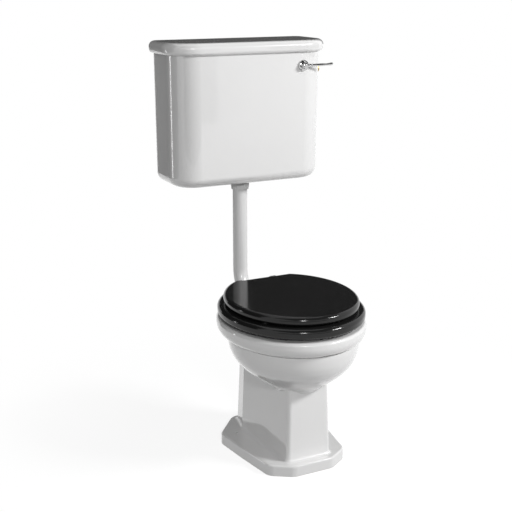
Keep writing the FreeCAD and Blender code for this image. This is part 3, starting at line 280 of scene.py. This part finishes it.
def black_rubber():
    """Dull moulded rubber with a fine grain and pale bloom."""
    made, f = material("black_rubber")
    grain = f.noise(1400.0)
    bloom = f.noise(40.0, detail=4.0)
    colour = f.mix(bloom.above(0.45, 0.3), grey(0.018), grey(0.050, 0.02))
    f.surface({
        "Base Color": colour, "Roughness": 0.62 + 0.25 * bloom, "Normal": f.bump(grain, 0.00006),
    })
    return made


def turned_brass():
    """Turned brass that has dulled: fine tool marks, brown film in patches."""
    made, f = material("turned_brass")
    film = f.noise(55.0, detail=5.0, rough=0.6)
    tool = f.noise(900.0, detail=1.0, stretch=(1.0, 0.05, 0.05))
    colour = f.mix(film.above(0.42, 0.25), (0.70, 0.50, 0.22, 1.0), (0.33, 0.22, 0.10, 1.0))
    f.surface({
        "Base Color": colour, "Metallic": 0.95, "Roughness": 0.24 + 0.30 * film,
        "Normal": f.bump(tool, 0.00003),
    })
    return made


def moulded_white():
    """Off-white moulded plastic of the siphon, with a thin scale film in patches."""
    made, f = material("moulded_white")
    grain = f.noise(1100.0)
    film = f.noise(24.0, detail=5.0, rough=0.65).above(0.48, 0.25)
    colour = f.mix(film * 0.5, grey(0.66, 0.015), grey(0.52, 0.06))
    f.surface({
        "Base Color": colour, "Roughness": 0.38 + 0.25 * film, "Normal": f.bump(grain, 0.00004),
    })
    return made


def moulded_black():
    """Black moulded plastic of the float, with a fine spark texture."""
    made, f = material("moulded_black")
    grain = f.noise(800.0, detail=3.0)
    film = f.noise(30.0, detail=4.0).above(0.5, 0.25)
    colour = f.mix(film * 0.6, grey(0.028), grey(0.075, 0.03))
    f.surface({
        "Base Color": colour, "Roughness": 0.42 + 0.2 * film, "Normal": f.bump(grain, 0.00006),
    })
    return made


FINISHES = {
    "china": china_glaze(),
    "seat_black": seat_gloss(),
    "rubber_black": black_rubber(),
    "chrome": chrome_plate(),
    "brass": turned_brass(),
    "pipe_white": pipe_enamel(),
    "inner_plastic": moulded_white(),
    "float_plastic": moulded_black(),
}
SLOT_OF = {part["node"]: part["material_slot"] for part in frame["record"]["subparts"]}


def even_shading():
    """Node tree that welds a faceted solid and shades it smooth except at true edges."""
    tree = bpy.data.node_groups.new("even_shading", "GeometryNodeTree")
    tree.interface.new_socket("Solid", in_out="INPUT", socket_type="NodeSocketGeometry")
    tree.interface.new_socket("Shaded", in_out="OUTPUT", socket_type="NodeSocketGeometry")
    source = tree.nodes.new("NodeGroupInput")
    weld = tree.nodes.new("GeometryNodeMergeByDistance")
    weld.inputs["Distance"].default_value = WELD_DISTANCE
    angle = tree.nodes.new("GeometryNodeInputMeshEdgeAngle")
    flat = tree.nodes.new("FunctionNodeCompare")
    flat.operation = "LESS_THAN"
    flat.inputs["B"].default_value = SMOOTH_BELOW
    faces = tree.nodes.new("GeometryNodeSetShadeSmooth")
    edges = tree.nodes.new("GeometryNodeSetShadeSmooth")
    edges.domain = "EDGE"
    sink = tree.nodes.new("NodeGroupOutput")
    link = tree.links.new
    link(source.outputs[0], weld.inputs["Geometry"])
    link(weld.outputs["Geometry"], faces.inputs["Geometry"])
    link(faces.outputs["Geometry"], edges.inputs["Geometry"])
    link(angle.outputs["Unsigned Angle"], flat.inputs["A"])
    link(flat.outputs["Result"], edges.inputs["Shade Smooth"])
    link(edges.outputs["Geometry"], sink.inputs[0])
    return tree


EVEN_SHADING = even_shading()


def dress_solid(name):
    """Give a carried-over solid its finish and even shading."""
    solid = NODES[name]
    solid.data.materials.clear()
    solid.data.materials.append(FINISHES[SLOT_OF[name]])
    shade = solid.modifiers.new("even_shading", "NODES")
    shade.node_group = EVEN_SHADING
    weigh = solid.modifiers.new("weighted_normals", "WEIGHTED_NORMAL")
    weigh.keep_sharp = True
    weigh.weight = 100


for node_name in NODES:
    dress_solid(node_name)


def screw_thread():
    """Node tree that winds a ridge round a screw, one screw for each point it is given."""
    tree = bpy.data.node_groups.new("screw_thread", "GeometryNodeTree")
    face = tree.interface
    face.new_socket("Roots", in_out="INPUT", socket_type="NodeSocketGeometry")
    for name in ("Radius", "Pitch", "Length", "Ridge"):
        face.new_socket(name, in_out="INPUT", socket_type="NodeSocketFloat")
    face.new_socket("Lean", in_out="INPUT", socket_type="NodeSocketVector")
    face.new_socket("Finish", in_out="INPUT", socket_type="NodeSocketMaterial")
    face.new_socket("Thread", in_out="OUTPUT", socket_type="NodeSocketGeometry")
    source = tree.nodes.new("NodeGroupInput")
    turns = tree.nodes.new("ShaderNodeMath")
    turns.operation = "DIVIDE"
    helix = tree.nodes.new("GeometryNodeCurveSpiral")
    helix.inputs["Resolution"].default_value = TURN_STEPS
    crest = tree.nodes.new("GeometryNodeCurvePrimitiveCircle")
    crest.inputs["Resolution"].default_value = RIDGE_SIDES
    wound = tree.nodes.new("GeometryNodeCurveToMesh")
    wound.inputs["Fill Caps"].default_value = True
    lean = tree.nodes.new("FunctionNodeEulerToRotation")
    placed = tree.nodes.new("GeometryNodeInstanceOnPoints")
    solid = tree.nodes.new("GeometryNodeRealizeInstances")
    finish = tree.nodes.new("GeometryNodeSetMaterial")
    sink = tree.nodes.new("NodeGroupOutput")
    link = tree.links.new
    link(source.outputs["Length"], turns.inputs[0])
    link(source.outputs["Pitch"], turns.inputs[1])
    link(turns.outputs[0], helix.inputs["Rotations"])
    link(source.outputs["Radius"], helix.inputs["Start Radius"])
    link(source.outputs["Radius"], helix.inputs["End Radius"])
    link(source.outputs["Length"], helix.inputs["Height"])
    link(source.outputs["Ridge"], crest.inputs["Radius"])
    link(helix.outputs["Curve"], wound.inputs["Curve"])
    link(crest.outputs["Curve"], wound.inputs["Profile Curve"])
    link(source.outputs["Lean"], lean.inputs["Euler"])
    link(source.outputs["Roots"], placed.inputs["Points"])
    link(wound.outputs["Mesh"], placed.inputs["Instance"])
    link(lean.outputs["Rotation"], placed.inputs["Rotation"])
    link(placed.outputs["Instances"], solid.inputs["Geometry"])
    link(solid.outputs["Geometry"], finish.inputs["Geometry"])
    link(source.outputs["Finish"], finish.inputs["Material"])
    link(finish.outputs["Geometry"], sink.inputs["Thread"])
    return tree


SCREW_THREAD = screw_thread()


def cut_thread(name, roots, slot, sizes, lean):
    """Thread from each root point along the screw, baked to a plain mesh on the fixed body."""
    mesh = bpy.data.meshes.new(name)
    mesh.from_pydata(roots, [], [])
    thread = bpy.data.objects.new(name, mesh)
    bpy.context.scene.collection.objects.link(thread)
    wind = thread.modifiers.new("screw_thread", "NODES")
    wind.node_group = SCREW_THREAD
    values = dict(sizes, Lean=lean, Finish=FINISHES[slot])
    for socket in SCREW_THREAD.interface.items_tree:
        if socket.in_out == "INPUT" and socket.name in values:
            wind[socket.identifier] = values[socket.name]
    thread.update_tag()
    seen = thread.evaluated_get(bpy.context.evaluated_depsgraph_get())
    baked = bpy.data.meshes.new_from_object(seen)
    thread.modifiers.clear()
    thread.data = baked
    baked.shade_smooth()
    baked.materials.clear()
    baked.materials.append(FINISHES[slot])
    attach(thread, "suite")


def middle(low, high, axis):
    """Middle of a box along one axis."""
    return (low[axis] + high[axis]) / 2


def screw_threads():
    """Threads that show: inlet tail beside the cistern, seat studs under their wing nuts, lever barrel."""
    low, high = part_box("float_valve_back_nut")
    tail = (high[0] + INLET_END, middle(low, high, 1), middle(low, high, 2))
    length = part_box("float_valve_body")[1][0] - INLET_END - tail[0]
    slot = SLOT_OF["float_valve_body"]
    cut_thread("inlet_thread", [tail], slot, dict(INLET_THREAD, Length=length), ALONG_X)
    low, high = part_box("hinge_studs")
    out = high[0] - STUD_RADIUS
    feet = [(side * out, middle(low, high, 1), low[2] + STUD_END) for side in (-1, 1)]
    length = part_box("hinge_wing_nuts")[0][2] - STUD_END - feet[0][2]
    cut_thread("stud_threads", feet, SLOT_OF["hinge_studs"], dict(STUD_THREAD, Length=length), ALONG_Z)
    low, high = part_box("lever_back_nut")
    barrel = (middle(low, high, 0), high[1] + BARREL_END, middle(low, high, 2))
    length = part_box("lever_boss")[1][1] - BARREL_END - barrel[1]
    cut_thread("barrel_thread", [barrel], SLOT_OF["lever_boss"], dict(BARREL_THREAD, Length=length), ALONG_Y)


screw_threads()


def flat_sheet(name, corners):
    """One face through four corners."""
    mesh = bpy.data.meshes.new(name)
    mesh.from_pydata(corners, [], [(0, 1, 2, 3)])
    sheet = bpy.data.objects.new(name, mesh)
    bpy.context.scene.collection.objects.link(sheet)
    return sheet


def studio_floor():
    """White floor with the object's shadow, which fades into the white surround."""
    sides = [(-1, -1), (1, -1), (1, 1), (-1, 1)]
    floor = flat_sheet("studio_floor", [(x * FLOOR_HALF, y * FLOOR_HALF, -FLOOR_DROP) for x, y in sides])
    made, f = material("pale_floor")
    seen = f.in_picture()
    away = (f.axis("x") ** 2.0 + f.axis("y") ** 2.0) ** 0.5
    lit = f.node("ShaderNodeBsdfDiffuse", None, {"Color": grey(FLOOR_GREY)})
    glow = f.node("ShaderNodeEmission", None, {"Color": grey(1.0), "Strength": seen * FLOOR_GLOW})
    near = f.node("ShaderNodeAddShader", None, {0: lit, 1: glow})
    white = f.node("ShaderNodeEmission", None, {"Color": grey(1.0), "Strength": 1.0})
    far = seen * away.above(FADE_START, FADE_LENGTH)
    f.node("ShaderNodeOutputMaterial", None, {
        "Surface": f.node("ShaderNodeMixShader", None, {0: far, 1: near, 2: white})})
    floor.data.materials.append(made)


def upright(start, end, low, high):
    """Corners of an upright sheet over the floor line from start to end."""
    return [(*start, low), (*end, low), (*end, high), (*start, high)]


def dark_card(name, corners):
    """Dark sheet that only reflections see."""
    card = flat_sheet(name, corners)
    made, f = material(name)
    f.surface({"Base Color": f.mix(f.noise(1.0), grey(0.015), grey(0.03)), "Roughness": 0.9})
    card.data.materials.append(made)
    card.visible_camera = False
    card.visible_diffuse = False
    card.visible_shadow = False


def soft_lamp(name, place, aim, wide, high, power):
    """Rectangular lamp turned to its aim."""
    light = bpy.data.lights.new(name, "AREA")
    light.shape = "RECTANGLE"
    light.size = wide
    light.size_y = high
    light.energy = power
    lamp = bpy.data.objects.new(name, light)
    bpy.context.scene.collection.objects.link(lamp)
    lamp.location = place
    lamp.rotation_euler = (Vector(aim) - Vector(place)).to_track_quat("-Z", "Y").to_euler()


def studio_world():
    """White to the eye and to reflections, a grey fill to everything else."""
    world = bpy.data.worlds.new("studio_world")
    bpy.context.scene.world = world
    world.use_nodes = True
    f = Finish(world.node_tree)
    strength = WORLD_FILL + (1.0 - WORLD_FILL) * f.in_picture()
    back = f.node("ShaderNodeBackground", None, {"Color": grey(1.0), "Strength": strength})
    f.node("ShaderNodeOutputWorld", None, {"Surface": back})


def photo_camera():
    """Camera at the photograph's angle and distance."""
    lens = bpy.data.cameras.new("photo_camera")
    lens.sensor_width = CAMERA_SENSOR
    lens.lens = FOCAL_PIXELS / FRAME_PIXELS * CAMERA_SENSOR
    lens.clip_end = CAMERA_REACH
    camera = bpy.data.objects.new("photo_camera", lens)
    bpy.context.scene.collection.objects.link(camera)
    level = math.cos(CAMERA_HEIGHT_ANGLE)
    back = Vector((
        math.sin(CAMERA_AZIMUTH) * level, -math.cos(CAMERA_AZIMUTH) * level, math.sin(CAMERA_HEIGHT_ANGLE)))
    camera.location = CAMERA_AIM + back * CAMERA_DISTANCE
    camera.rotation_euler = (-back).to_track_quat("-Z", "Y").to_euler()
    bpy.context.scene.camera = camera


def studio():
    """Floor, surround, reflections, lamps and camera."""
    studio_floor()
    studio_world()
    for name, line in CARDS.items():
        dark_card(name, upright(*line))
    dark_card("card_above", CARD_ABOVE)
    for name, lamp in LAMPS.items():
        soft_lamp(name, *lamp)
    photo_camera()
    bpy.context.scene.view_settings.view_transform = "Standard"


studio()
